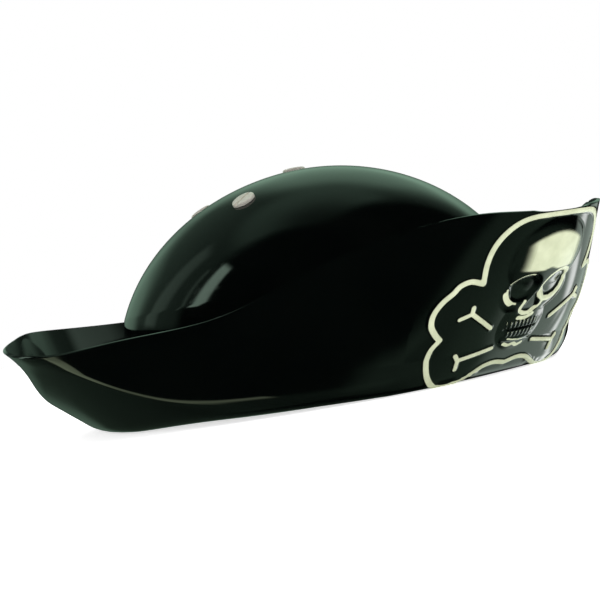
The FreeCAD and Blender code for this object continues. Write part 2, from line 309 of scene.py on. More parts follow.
# The columns are fine over the emblem, where the moulding is fine, and
# coarser round the rest.
EMBLEM_COLUMNS = 96
OTHER_COLUMNS = 72
emblem_end = knots[2] + 0.35 * (knots[3] - knots[2])
back_knot = knots[len(STATIONS) - 1]
half_columns = np.r_[
    np.linspace(0, emblem_end, EMBLEM_COLUMNS, endpoint=False),
    np.linspace(emblem_end, back_knot, OTHER_COLUMNS)]
columns = np.r_[half_columns, knots[-1] - half_columns[-2:0:-1]]
brim = brim_places(columns)
print("brim rows and columns", brim.shape[:2])

# %% [markdown]
# The emblem is moulded into the front wall.  Its drawing lies on the wall
# itself: `across` is the distance from the middle of the front along each
# row, and `up` is the distance above the fold, both in millimetres.

# %% Emblem coordinates
half = len(half_columns)
column_gaps = np.linalg.norm(np.roll(brim, -1, axis=1) - brim, axis=2)
across = np.zeros(brim.shape[:2])
across[:, 1:half] = np.cumsum(column_gaps[:, :half - 1], axis=1)
across[:, half:] = -np.cumsum(column_gaps[:, ::-1], axis=1)[:, :len(columns) - half][:, ::-1]
up = np.zeros(brim.shape[:2])
up[FLOOR_ROWS + 1:] = np.cumsum(
    np.linalg.norm(np.diff(brim, axis=0), axis=2)[FLOOR_ROWS:], axis=0)
print("front wall", round(float(up[-1, 0]), 1), "mm from fold to rim")

# %% [markdown]
# The cream outline has three lobes on each side that meet in sharp cusps.
# Each lobe is a smooth run through a few marks.  The crossed bones are short
# strokes with forked ends that come out from behind the skull.

# %% Emblem drawing
OUTLINE_LOBES = (
    ((0, 86.3), (9, 86.2), (18, 85.4), (24.3, 82.7), (29.5, 77.2), (32.6, 70.8), (33.6, 63.5),
     (32.7, 55.3)),
    ((32.7, 55.3), (38.3, 56.4), (42.6, 54.6), (45, 51.2)),
    ((45, 51.2), (48.8, 46.8), (51, 41.6), (50.4, 36.4), (47.6, 32.4), (44.2, 29)),
    ((44.2, 29), (46.5, 24), (46, 16.8), (43, 9.6), (37.6, 4), (31.5, 2.8), (25.2, 4.2), (20, 7.2),
     (14.1, 10.6), (7.5, 11.6), (0, 10.2)),
)
BONES = (
    ((19.2, 31.8), (33.2, 41)), ((33.2, 41), (33.6, 44.2)), ((33.2, 41), (38.4, 38.8)),
    ((13.2, 20.3), (31, 16.8)), ((31, 16.8), (33, 19.4)), ((31, 16.8), (30.6, 12.2)),
)
EYE_MIDDLE = np.array((9.4, 51.4))
EYE_ROUND = np.array((7.8, 7.4))


def smooth_run(marks, fine=10):
    """A Catmull-Rom curve through the marks, as short straight runs."""
    marks = np.array(marks, float)
    if len(marks) == 2:
        return marks
    ends = np.vstack([2 * marks[0] - marks[1], marks, 2 * marks[-1] - marks[-2]])
    run = []
    for a, b, c, d in zip(ends, ends[1:], ends[2:], ends[3:]):
        for s in np.arange(fine) / fine:
            run.append(0.5 * (2 * b + (c - a) * s + (2 * a - 5 * b + 4 * c - d) * s**2
                              + (3 * b - a - 3 * c + d) * s**3))
    return np.array(run + [marks[-1]])


def distance_to(run, x, y):
    """How far each place (x, y) is from a run of straight pieces."""
    nearest = np.full(x.shape, 1e3)
    for (ax, ay), (bx, by) in zip(run, run[1:]):
        along = (bx - ax) ** 2 + (by - ay) ** 2
        s = np.clip(((x - ax) * (bx - ax) + (y - ay) * (by - ay)) / along, 0, 1)
        nearest = np.minimum(nearest, np.hypot(x - ax - s * (bx - ax), y - ay - s * (by - ay)))
    return nearest


side = np.abs(across)
outline = np.min([distance_to(smooth_run(lobe), side, up) for lobe in OUTLINE_LOBES], axis=0)
bones = np.min([distance_to(smooth_run(bone), side, up) for bone in BONES], axis=0)
print("outline of", len(OUTLINE_LOBES), "lobes a side,", len(BONES), "bone strokes a side")

# %% [markdown]
# The skull is the deepest moulding on the sheet.  It is built as a sculptor
# blocks out a head: a round brain case, the cheeks and the jaw are swelled
# and blended, then the eye sockets and the nose are pressed in, and last the
# teeth are raised as two rows of small beads.

# %% Skull relief
def swell(x, y, middle, radii, height, fall=0.7):
    """A rounded swelling that falls to nothing at its edge."""
    inside = 1 - ((x - middle[0]) / radii[0]) ** 2 - ((y - middle[1]) / radii[1]) ** 2
    return height * np.clip(inside, 0, 1) ** fall


def blend_up(a, b, width=0.8):
    """The larger of two heights, with a soft valley between them."""
    share = np.clip(0.5 + 0.5 * (a - b) / width, 0, 1)
    return b * (1 - share) + a * share + width * share * (1 - share)


def soft_step(low, high, value):
    """0 at `low`, 1 at `high`, and an S-shaped slope between them."""
    s = np.clip((value - low) / (high - low), 0, 1)
    return s * s * (3 - 2 * s)


# middle (across, up), half size (across, up) and height, in mm
BRAIN_CASE = ((0, 65), (22.5, 20), 4.6)
CHEEKS = ((0, 48), (20, 13), 2.6)
JAW = ((0, 31), (14, 14), 1.6)
SOCKET_DEPTH = 1.5
NOSE_DEPTH = 1.0
NOSE_TOP, NOSE_FLARE, NOSE_HALF_WIDTH = 50.5, 0.45, 5.2
TOOTH_PITCH, TOOTH_HEIGHT = 2.5, 0.45
MOUTH_DEPTH = 0.6
CHIN_FOLD = ((-9, 24), (0, 23.4), (9, 24))
OUTLINE_HEIGHT, BONE_HEIGHT = 0.7, 0.9
EMBLEM_REACH = 60
skull = blend_up(
    blend_up(swell(side, up, *BRAIN_CASE), swell(side, up, *CHEEKS)), swell(side, up, *JAW))
eye_reach = np.hypot((side - EYE_MIDDLE[0]) / EYE_ROUND[0], (up - EYE_MIDDLE[1]) / EYE_ROUND[1])
socket = soft_step(1.12, 0.72, eye_reach)
nose_half_width = np.clip((NOSE_TOP - up) * NOSE_FLARE, 0, NOSE_HALF_WIDTH)
nose = (
    soft_step(0.6, -0.9, side - nose_half_width)
    * soft_step(37.2, 38.8, up) * soft_step(49.5, 46.5, up))
teeth_across = 0.5 + 0.5 * np.cos(across * 2 * math.pi / TOOTH_PITCH)
upper_teeth = soft_step(2.3, 1.2, np.abs(up - 31.6)) * soft_step(10.5, 9, side)
lower_teeth = soft_step(2.1, 1.1, np.abs(up - 27)) * soft_step(9.5, 8, side)
mouth = soft_step(0.8, 0.1, np.abs(up - 29.2)) * soft_step(11, 9.5, side)
relief = skull - SOCKET_DEPTH * socket - NOSE_DEPTH * nose
relief += TOOTH_HEIGHT * teeth_across * (upper_teeth + lower_teeth) - MOUTH_DEPTH * mouth
relief += 0.45 * soft_step(1.5, 0.5, distance_to(smooth_run(CHIN_FOLD), across, up))
relief = np.maximum(relief, 0)
relief += OUTLINE_HEIGHT * soft_step(1.7, 0.5, outline) + BONE_HEIGHT * soft_step(1.6, 0.3, bones)
relief *= soft_step(-0.5, 0.8, up) * (side < EMBLEM_REACH)
print("skull stands", round(float(relief.max()), 1), "mm proud")

# %% [markdown]
# The cream is brushed on the high places only.  Each vertex keeps how far it
# is from the nearest painted edge, so the material can draw a clean edge
# between vertices.  The forehead is sprayed, so its edge is soft.

# %% Emblem paint
def eye_arc(start, end, grow=1.0):
    """Part of an eye socket's rim, between two angles counted from the outside."""
    angles = np.radians(np.linspace(start, end, 14))
    return np.stack([EYE_MIDDLE[0] + grow * EYE_ROUND[0] * np.cos(angles),
                     EYE_MIDDLE[1] + grow * EYE_ROUND[1] * np.sin(angles)], 1)


NOSE_STROKE = (
    (-5.6, 44), (-6.3, 40.6), (-4, 37.8), (0.5, 37), (5, 39.2), (6.2, 43.4), (4, 48), (1.6, 52.5))
LIP_STROKE = ((-4.8, 35), (0, 34.7), (4.4, 36))
CHIN_LINE = ((-6, 24.2), (0, 23.2), (5, 22.6))
CHIN_STROKE = ((-6.4, 21.2), (-3, 20), (0, 20.6), (3, 19.2), (6, 20))
BARE = 1.0
far_side = across > 0
# Each entry is the distance to a stroke's middle line less half its width.
brushed = np.min([
    outline - 1.2,
    bones - 1.0,
    distance_to(eye_arc(15, 100, 1.02), side, up) - 0.45,
    np.where(far_side, distance_to(eye_arc(0, 360, 1.1), side, up) - 1.2, BARE),
    np.where(far_side, BARE, distance_to(eye_arc(-80, -5, 1.1), side, up) - 0.5),
    np.where(far_side, BARE, distance_to(eye_arc(-60, -20, 1.2), side, up) - 1.3),
    distance_to(smooth_run(NOSE_STROKE), across, up) - 0.9,
    distance_to(smooth_run(LIP_STROKE), across, up) - 0.9,
    distance_to(smooth_run(CHIN_LINE), across, up) - 0.4,
    distance_to(smooth_run(CHIN_STROKE), across, up) - 0.9,
    np.where((np.abs(up - 32.6) < 0.9) & (side < 10), 0.93 - teeth_across, BARE),
    np.where((np.abs(up - 27.6) < 0.7) & (side < 9), 0.93 - teeth_across, BARE),
], axis=0)
brow = 60.4 + 1.2 * soft_step(5, 0, side)
forehead = (
    soft_step(17.5, 11.5, side)
    * soft_step(0, 0.8, up - brow)
    * soft_step(0.9, -0.9, up - (78.6 - 0.022 * side**2)))
print("painted edge from", round(float(brushed.min()), 2), "mm inside")

# %% [markdown]
# The brim's surface now becomes a sheet.  The relief is added square to the
# surface, the paint's edge goes along as an attribute, and Solidify gives the
# wall inwards, so that the moulding shows on the outside only as it does on a
# formed sheet.  A small bevel breaks the cut edges.

# %% Brim sheet
SHEET = 1.5 * MM
CUT_EDGE = 0.35 * MM
along_row = np.roll(brim, -1, axis=1) - np.roll(brim, 1, axis=1)
up_row = np.gradient(brim, axis=0)
outward = -unit(np.cross(along_row, up_row))
if outward[-1, 0, 1] > 0:
    outward = -outward
brim_piece = curved_sheet("brim", (brim + outward * relief[..., None]) * MM, wrap=True)
closed = [np.concatenate([values, values[:, :1]], axis=1) for values in (brushed, forehead)]
for name, values in zip(("painted_edge", "sprayed"), closed):
    attribute = brim_piece.data.attributes.new(name, "FLOAT", "POINT")
    attribute.data.foreach_set("value", values.astype(np.float32).ravel())
merge_and_turn_out(brim_piece)
outermost = max(brim_piece.data.polygons, key=lambda face: -face.center.y)
if outermost.normal.y > 0:
    merge_and_turn_out(brim_piece, inside_out=True)
apply_modifier(brim_piece, "SOLIDIFY", thickness=SHEET, offset=-1)
apply_modifier(brim_piece, "BEVEL", width=CUT_EDGE, segments=2, limit_method="ANGLE",
               angle_limit=math.radians(60))
smooth(brim_piece, 50)
print("brim sheet", len(brim_piece.data.vertices), "vertices")

# %% [markdown]
# The crown is a second sheet, a plain dome that stands on the brim's floor
# with a narrow flange turned out at its foot.  Seen from above it is an egg:
# a little longer behind the middle than in front.  It is one profile swept
# round, from the top of the dome to the edge of the flange.

# %% Crown
CROWN_HALF_WIDTH = 93
CROWN_REACH_FRONT = 104
CROWN_REACH_BACK = 116
CROWN_TOP = 111
CROWN_SHOULDER = 48
CROWN_CAP_MIDDLE = 20
CROWN_SWELL = 1.045
CROWN_TUCK = 2.5
CROWN_FLANGE = 5
CROWN_TURNS = 192
cap_rise = CROWN_TOP - CROWN_CAP_MIDDLE
shoulder_angle = math.acos((CROWN_SHOULDER + 4 - CROWN_CAP_MIDDLE) / cap_rise)
cap_angles = shoulder_angle * np.linspace(0, 1, 64) ** 0.9
cap_share = CROWN_SWELL * np.sin(cap_angles)
cap_height = CROWN_CAP_MIDDLE + cap_rise * np.cos(cap_angles)
foot_share = 1 - CROWN_TUCK / CROWN_HALF_WIDTH
wall_heights = np.linspace(CROWN_SHOULDER - 6, 6, 14)
wall_share = foot_share + (1 - foot_share) * wall_heights / CROWN_SHOULDER
# share of the plan, height in mm, and how far the flange stands out in mm
flange = [
    (foot_share, 5, 0.0), (foot_share, 4, 0.15), (foot_share, 3.3, 0.7), (foot_share, 3, 1.6)]
flange += [(foot_share, 3, grow) for grow in np.linspace(2.2, CROWN_FLANGE, 5)]
profile = [(s, h, 0.0) for s, h in zip(cap_share, cap_height)]
profile += [(s, h, 0.0) for s, h in zip(wall_share, wall_heights)] + flange
profile = np.array(profile)
turns = np.linspace(0, 2 * math.pi, CROWN_TURNS, endpoint=False)
reach = np.where(np.cos(turns) >= 0, CROWN_REACH_BACK, CROWN_REACH_FRONT)
share, height, grow = (profile[:, i, None] for i in range(3))
crown = np.stack([
    (CROWN_HALF_WIDTH * share + grow) * np.sin(turns),
    (reach * share + grow) * np.cos(turns),
    height + 0 * turns], axis=2)
crown_piece = curved_sheet("crown", crown * MM, wrap=True)
merge_and_turn_out(crown_piece)
topmost = max(crown_piece.data.polygons, key=lambda face: face.center.z)
if topmost.normal.z < 0:
    merge_and_turn_out(crown_piece, inside_out=True)
apply_modifier(crown_piece, "SOLIDIFY", thickness=SHEET, offset=-1)
smooth(crown_piece, 50)
print("crown profile of", len(profile), "points")

# %% [markdown]
# The hat's black is high-impact polystyrene sheet, formed hot over a mould
# and left with the sheet's own gloss.  The eye gets a hard, clear reflection
# that wanders a little, because the sheet is never quite flat, with faint
# scuffs from handling.  The brim's emblem is brushed with cream enamel, which
# is satin and a little dirty.

# %% Black gloss plastic
def length_coordinates(tree, pitch):
    """Object coordinates divided so that one unit is `pitch` millimetres."""
    where = add_node(tree, "ShaderNodeTexCoord").outputs["Object"]
    return add_node(tree, "ShaderNodeVectorMath", {0: where, 1: (1000 / pitch,) * 3},
                    operation="MULTIPLY").outputs[0]


def cloudy(tree, pitch, detail):
    """A noise whose patches are about `pitch` millimetres across."""
    return add_node(tree, "ShaderNodeTexNoise",
                    {"Vector": length_coordinates(tree, pitch), "Scale": 1, "Detail": detail},
                    ).outputs["Fac"]


def between(tree, share, low, high):
    """Two colours mixed by a share."""
    return add_node(tree, "ShaderNodeMix", {"Factor": share, "A": low, "B": high},
                    data_type="RGBA").outputs["Result"]


SHEET_WANDER, HAZE_PATCH, SCUFF_GRAIN, GRIME_PATCH = 26, 30, 2.5, 6
BLACK, BLACK_HAZE = "#010202", "#030504"
CREAM_DIRTY, CREAM_CLEAN = "#9aa081", "#c9ceb0"
BRUSH_EDGE = 0.12
ENAMEL_ROUGHNESS = 0.3


def gloss_black(name, painted):
    """Gloss black sheet, with the emblem's cream enamel where it is painted."""
    material, tree, shader = start_material(name)
    shader.inputs["IOR"].default_value = 1.5
    haze = cloudy(tree, HAZE_PATCH, 3)
    polish = add_node(tree, "ShaderNodeMapRange",
                      {"Value": haze, "From Min": 0.35, "From Max": 0.7,
                       "To Min": 0.05, "To Max": 0.1})
    scuffed = add_node(tree, "ShaderNodeMapRange",
                       {"Value": cloudy(tree, SCUFF_GRAIN, 6), "From Min": 0.55, "From Max": 0.8,
                        "To Min": 0.0, "To Max": 0.08})
    rough = add_node(tree, "ShaderNodeMath", {0: polish.outputs[0], 1: scuffed.outputs[0]},
                     operation="ADD").outputs[0]
    wander = add_node(tree, "ShaderNodeBump",
                      {"Height": cloudy(tree, SHEET_WANDER, 1), "Distance": 0.3 * MM,
                       "Strength": 0.5})
    tree.links.new(wander.outputs[0], shader.inputs["Normal"])
    body = between(tree, haze, colour(BLACK), colour(BLACK_HAZE))
    if painted:
        edge = add_node(tree, "ShaderNodeAttribute", attribute_name="painted_edge")
        brushed_on = add_node(tree, "ShaderNodeMapRange",
                              {"Value": edge.outputs["Fac"], "From Min": BRUSH_EDGE,
                               "From Max": -BRUSH_EDGE})
        spray = add_node(tree, "ShaderNodeAttribute", attribute_name="sprayed")
        cover = add_node(tree, "ShaderNodeMath",
                         {0: brushed_on.outputs[0], 1: spray.outputs["Fac"]},
                         operation="MAXIMUM").outputs[0]
        cream = between(tree, cloudy(tree, GRIME_PATCH, 5), colour(CREAM_DIRTY),
                        colour(CREAM_CLEAN))
        body = between(tree, cover, body, cream)
        rough = add_node(tree, "ShaderNodeMix",
                         {"Factor": cover, "A": rough, "B": ENAMEL_ROUGHNESS}).outputs["Result"]
    tree.links.new(body, shader.inputs["Base Color"])
    tree.links.new(rough, shader.inputs["Roughness"])
    return material


black_plastic = gloss_black("gloss black polystyrene", painted=False)
painted_plastic = gloss_black("gloss black polystyrene with cream paint", painted=True)
hand_over(brim_piece, "black_plastic", painted_plastic, "brim_shell")
hand_over(crown_piece, "black_plastic", black_plastic, "crown_shell")

# %% [markdown]
# The screws and rivets are brass with dull nickel plate: a warm grey that is
# more satin than mirror, worn soft by fingers, so part of its shine is given
# up for a pale body.  Washers and barrel nuts are steel with bright zinc,
# which has a fine cold crystal pattern.

# %% Metals
def plated_metal(name, dark, light, roughness, grain, metallic):
    """A plated metal that is cloudy at the size of `grain` millimetres."""
    material, tree, shader = start_material(name)
    shader.inputs["Metallic"].default_value = metallic
    cloud = cloudy(tree, grain, 4)
    rough = add_node(tree, "ShaderNodeMapRange",
                     {"Value": cloud, "To Min": roughness - 0.06, "To Max": roughness + 0.1})
    bump = add_node(tree, "ShaderNodeBump",
                    {"Height": cloud, "Distance": 0.03 * MM, "Strength": 0.5})
    tree.links.new(between(tree, cloud, colour(dark), colour(light)),
                   shader.inputs["Base Color"])
    tree.links.new(rough.outputs[0], shader.inputs["Roughness"])
    tree.links.new(bump.outputs[0], shader.inputs["Normal"])
    return material


nickel = plated_metal("dull nickel plate on brass", "#c9c5b6", "#efece2", 0.34, 1.5, 0.55)
zinc = plated_metal("zinc plated steel", "#7f858a", "#b4b9bd", 0.4, 0.8, 1.0)
print("metals:", nickel.name, "and", zinc.name)

# %% [markdown]
# Five binding screws hold the straps inside the crown.  Each has a low head
# with a rounded edge and one straight slot.  One screw is modelled upright at
# the origin: a cylinder gets its edge rounded by a bevel, a bar is cut out of
# it for the slot, and a thin cylinder below makes the shank.  Then each copy
# is turned to stand square to the crown at its own place.

# %% Places on the crown and on the sweatband
# degrees round from the back, and the share of the way down from the top
SCREWS = {"top": (0, 0.03), "right": (255, 0.55), "left": (105, 0.55),
          "back_right": (322, 0.51), "back_left": (38, 0.51)}
# degrees round from the back at which each strap meets the sweatband
STRAP_TURNS = {"top": 180, "right": 255, "left": 105, "back_right": 322, "back_left": 38}
BAND_HALF_WIDTH, BAND_HALF_LENGTH, BAND_BACK = 82, 99, 5
BAND_LOW, BAND_HIGH, BAND_THICK = 5, 35, 1.6
STRAP_WIDTH, STRAP_THICK = 14, 1.2
WASHER_THICK, ASSEMBLY_GAP = 0.8, 0.2


def on_crown(turn, share):
    """A point of the crown's outside (mm) and the way straight out of it."""
    a = math.radians(turn)
    reach = CROWN_REACH_BACK if math.cos(a) >= 0 else CROWN_REACH_FRONT
    rise = cap_rise * math.sqrt(1 - (share / CROWN_SWELL) ** 2)
    x, y = CROWN_HALF_WIDTH * math.sin(a) * share, reach * math.cos(a) * share
    normal = Vector((x / (CROWN_SWELL * CROWN_HALF_WIDTH) ** 2,
                     y / (CROWN_SWELL * reach) ** 2, rise / cap_rise**2))
    return Vector((x, y, CROWN_CAP_MIDDLE + rise)), normal.normalized()


def on_band(turn):
    """A point half way up the sweatband's outside (mm) and the way out of it."""
    a = math.radians(turn)
    wide, long = BAND_HALF_WIDTH + BAND_THICK, BAND_HALF_LENGTH + BAND_THICK
    x, y = wide * math.sin(a), long * math.cos(a)
    normal = Vector((x / wide**2, y / long**2, 0)).normalized()
    return Vector((x, y + BAND_BACK, (BAND_LOW + BAND_HIGH) / 2)), normal


print("top screw at", tuple(round(v, 1) for v in on_crown(*SCREWS["top"])[0]), "mm")

# %% Binding screws
HEAD_ROUND = 5.7
HEAD_TALL = 1.6
EDGE_ROUND = 0.9
SLOT_WIDE = 1.4
SHANK_ROUND = 1.5
SHANK_LONG = 5
bpy.ops.object.select_all(action="DESELECT")
bpy.ops.mesh.primitive_cylinder_add(
    vertices=48, radius=HEAD_ROUND * MM, depth=HEAD_TALL * MM, location=(0, 0, HEAD_TALL / 2 * MM))
head = bpy.context.object
bpy.ops.object.transform_apply(location=True, rotation=True, scale=True)
bpy.ops.object.mode_set(mode="EDIT")
bpy.ops.mesh.select_all(action="DESELECT")
bpy.ops.object.mode_set(mode="OBJECT")
for face in head.data.polygons:
    face.select = face.normal.z > 0.9
bpy.ops.object.mode_set(mode="EDIT")
bpy.ops.mesh.bevel(offset=EDGE_ROUND * MM, segments=4, affect="EDGES")
bpy.ops.object.mode_set(mode="OBJECT")
bpy.ops.mesh.primitive_cube_add(
    size=1, scale=(20 * MM, SLOT_WIDE * MM, HEAD_TALL * MM), location=(0, 0, HEAD_TALL * MM))
slot_bar = bpy.context.object
only(slot_bar)
bpy.ops.object.transform_apply(location=True, rotation=True, scale=True)
apply_modifier(head, "BOOLEAN", operation="DIFFERENCE", object=slot_bar, solver="EXACT")
bpy.data.objects.remove(slot_bar)
bpy.ops.mesh.primitive_cylinder_add(
    vertices=24, radius=SHANK_ROUND * MM, depth=SHANK_LONG * MM, location=(0, 0, -2.4 * MM))
shank = bpy.context.object
only(shank)
bpy.ops.object.transform_apply(location=True, rotation=True, scale=True)
head.select_set(True)
bpy.context.view_layer.objects.active = head
bpy.ops.object.join()
smooth(head, 35)
for name, place in SCREWS.items():
    point, normal = on_crown(*place)
    turn = Vector((0, 0, 1)).rotation_difference(normal).to_matrix().to_4x4()
    mesh = head.data.copy()
    mesh.transform(Matrix.Translation(point * MM) @ turn)
    screw = bpy.data.objects.new(f"binding_screw_{name}", mesh)
    bpy.context.scene.collection.objects.link(screw)
    hand_over(screw, "nickel_plate", nickel, f"screw_{name}")
bpy.data.objects.remove(head)

# %% [markdown]
# The straps are narrow woven webbing.  Each starts flat under its screw,
# bends down with the crown and ends behind the sweatband.  The weave is real
# relief here: rows and columns are lifted in turn, as warp and weft do, and
# the strip gets its thickness last.

# %% Webbing
WEAVE_PITCH, WEAVE_RELIEF = 1.0, 0.12
WEBBING_THICK = 0.9
STRAP_LAP, BAND_LAP = 8, 12
THREADS_ACROSS = 15


def webbing_route(name):
    """Four places along a strap (mm), with the way across it and the way out at each."""
    point, normal = on_crown(*SCREWS[name])
    band_middle, band_normal = on_band(STRAP_TURNS[name])
    depth = SHEET / MM + ASSEMBLY_GAP + WASHER_THICK + STRAP_THICK
    start = point - normal * depth
    band_across = Vector((0, 0, 1)).cross(band_normal)
    way = normal.cross(band_across).normalized()
    if way.z > 0 or way.dot(band_normal) < 0:
        way = -way
    across_strap = -way.cross(normal)
    if across_strap.dot(band_across) < 0:
        across_strap = -across_strap
    lap = way * STRAP_LAP
    drop = Vector((0, 0, BAND_LAP))
    places = np.array([start - lap, start + lap, band_middle + drop, band_middle - drop])
    sides = np.array([across_strap, across_strap, band_across, band_across])
    outs = np.array([normal, normal, band_normal, band_normal])
    return places, sides, outs


def along_route(values, marks, where, easing=4.0):
    """Values along a route, with each corner eased over a few millimetres."""
    offsets = np.linspace(-easing, easing, 9)
    moved = np.clip(where[:, None] + offsets, 0, marks[-1])
    return np.stack(
        [np.interp(moved, marks, values[:, i]).mean(axis=1) for i in range(3)], axis=1)


for name in SCREWS:
    places, sides, outs = webbing_route(name)
    marks = np.r_[0, np.cumsum(np.linalg.norm(np.diff(places, axis=0), axis=1))]
    where = np.arange(0, marks[-1], WEAVE_PITCH)
    middle = along_route(places, marks, where)
    side_way = unit(along_route(sides, marks, where))
    out_way = unit(along_route(outs, marks, where))
    width = np.linspace(-STRAP_WIDTH / 2, STRAP_WIDTH / 2, THREADS_ACROSS)
    weft, warp = np.arange(len(where))[:, None], np.arange(THREADS_ACROSS)[None, :]
    over_under = WEAVE_RELIEF * (-1.0) ** (weft + warp)
    strip = (middle[:, None] + side_way[:, None] * width[None, :, None]
             + out_way[:, None] * (STRAP_THICK / 2 + over_under[..., None]))
    webbing = curved_sheet(f"webbing_{name}", strip * MM)
    apply_modifier(webbing, "SOLIDIFY", thickness=WEBBING_THICK * MM, offset=0)
    merge_and_turn_out(webbing)
    smooth(webbing, 50)
    print("strap", name, round(float(marks[-1])), "mm long")

# %% [markdown]
# Four soft finishes share one build: small cells for the thread, grain or nap
# and a slow cloud for wear.  Webbing is woven polyester, dull with a slight
# sheen where its threads stand up.  The band is embossed vinyl, a dark brown
# with a leather grain of about a millimetre.  The pad's cover is brushed
# cloth, which is the dullest, and the stitches are waxed thread.

# %% Webbing, vinyl and cloth finishes
WEAR_PATCH = 14


def soft_goods(name, dark, light, roughness, grain, bump_height, sheen=0.0):
    """A soft finish whose cells are `grain` mm wide and `bump_height` mm high."""
    material, tree, shader = start_material(name)
    shader.inputs["Sheen Weight"].default_value = sheen
    cells = add_node(tree, "ShaderNodeTexVoronoi",
                     {"Vector": length_coordinates(tree, grain), "Scale": 1.0},
                     ).outputs["Distance"]
    shade = add_node(tree, "ShaderNodeMath", {0: cells, 1: cloudy(tree, WEAR_PATCH, 4)},
                     operation="MULTIPLY").outputs[0]
    rough = add_node(tree, "ShaderNodeMapRange",
                     {"Value": cells, "To Min": roughness, "To Max": roughness + 0.15})
    bump = add_node(tree, "ShaderNodeBump",
                    {"Height": cells, "Distance": bump_height * MM, "Strength": 0.7})
    tree.links.new(between(tree, shade, colour(light), colour(dark)),
                   shader.inputs["Base Color"])
    tree.links.new(rough.outputs[0], shader.inputs["Roughness"])
    tree.links.new(bump.outputs[0], shader.inputs["Normal"])
    return material


web_cloth = soft_goods("woven polyester webbing", "#0d0e10", "#34373b", 0.75, 0.5, 0.15, 0.3)
band_vinyl = soft_goods("grained vinyl", "#15110e", "#3a3029", 0.42, 1.1, 0.12)
pad_cloth = soft_goods("brushed cloth over foam", "#1d2024", "#3f444b", 0.85, 0.6, 0.1, 0.4)
thread = soft_goods("waxed thread", "#8d8672", "#c2bba4", 0.6, 0.3, 0.05)
for name in SCREWS:
    hand_over(bpy.data.objects[f"webbing_{name}"], "webbing", web_cloth, f"strap_{name}")

# %% [markdown]
# The sweatband is a strip of grained vinyl bent into an oval.  Its edges are
# rounded, and a groove near each edge takes a row of stitches.  Its section
# is drawn once and carried round the oval.

# %% Sweatband
def round_the_band(offset, height, turns):
    """Places on an oval that lies `offset` mm outside the band's inner face."""
    return np.stack([(BAND_HALF_WIDTH + offset) * np.sin(turns),
                     (BAND_HALF_LENGTH + offset) * np.cos(turns) + BAND_BACK,
                     height + 0 * turns], axis=-1)


GROOVE_HEIGHTS = (8.0, 32.0)
GROOVE_DEPTH, GROOVE_WIDE = 0.4, 0.7
BAND_EDGE = 0.7
inner_heights = np.linspace(BAND_LOW + BAND_EDGE, BAND_HIGH - BAND_EDGE, 50)
inner_offsets = 0.05 + sum(
    GROOVE_DEPTH * np.exp(-((inner_heights - g) / GROOVE_WIDE) ** 2) for g in GROOVE_HEIGHTS)
section = [(o, h) for o, h in zip(inner_offsets, inner_heights)]
section += [(0.35, BAND_HIGH - 0.15), (0.8, BAND_HIGH), (1.25, BAND_HIGH - 0.15)]
section += [(BAND_THICK, h) for h in np.linspace(BAND_HIGH - BAND_EDGE, BAND_LOW + BAND_EDGE, 12)]
section += [(1.25, BAND_LOW + 0.15), (0.8, BAND_LOW), (0.35, BAND_LOW + 0.15)]
section.append(section[0])
oval_turns = np.linspace(0, 2 * math.pi, 180, endpoint=False)
band = np.array([round_the_band(o, h, oval_turns) for o, h in section])
band_piece = curved_sheet("vinyl_sweatband", band * MM, wrap=True)
merge_and_turn_out(band_piece)
smooth(band_piece, 50)
hand_over(band_piece, "band_vinyl", band_vinyl, "sweatband")

# %% [markdown]
# The stitches repeat hundreds of times, so one is modelled with few faces
# and copied along both grooves into a single piece.  The sphere tool lists
# its faces and edges in an order that changes from run to run, so they are
# put in a fixed order first: each gets a number from its corners.

# %% Stitches
STITCHES = 140
THREAD_ROUND = 0.3
STITCH_STRETCH = 4.2
bpy.ops.object.select_all(action="DESELECT")
bpy.ops.mesh.primitive_uv_sphere_add(segments=6, ring_count=5, radius=THREAD_ROUND * MM)
stitch = bpy.context.object


def corner_number(part):
    return sum(2**corner.index for corner in part.verts)


ordered = bmesh.new()
ordered.from_mesh(stitch.data)
ordered.edges.sort(key=corner_number)
ordered.faces.sort(key=corner_number)
ordered.to_mesh(stitch.data)
ordered.free()
stitch.data.transform(Matrix.Scale(STITCH_STRETCH, 4, (1, 0, 0)))
rows = bmesh.new()
for groove in GROOVE_HEIGHTS:
    for k in range(STITCHES):
        turn = 2 * math.pi * k / STITCHES
        here, there = (
            Vector(round_the_band(THREAD_ROUND, groove, np.array(turn + t))) for t in (0, 0.01))
        copy = stitch.data.copy()
        heading_way = (there - here).to_track_quat("X", "Z").to_matrix().to_4x4()
        copy.transform(Matrix.Translation(here * MM) @ heading_way)
        rows.from_mesh(copy)
        bpy.data.meshes.remove(copy)
stitches_mesh = bpy.data.meshes.new("sweatband_stitches")
rows.to_mesh(stitches_mesh)
rows.free()
bpy.data.objects.remove(stitch)
stitches = bpy.data.objects.new("sweatband_stitches", stitches_mesh)
bpy.context.scene.collection.objects.link(stitches)
smooth(stitches, 60)
hand_over(stitches, "webbing", thread)

# %% [markdown]
# The forehead pad is thin foam in a cloth cover, sewn through in upright
# channels.  It follows the inside of the sweatband at the front, and it
# swells between its seams and thins to its edges.

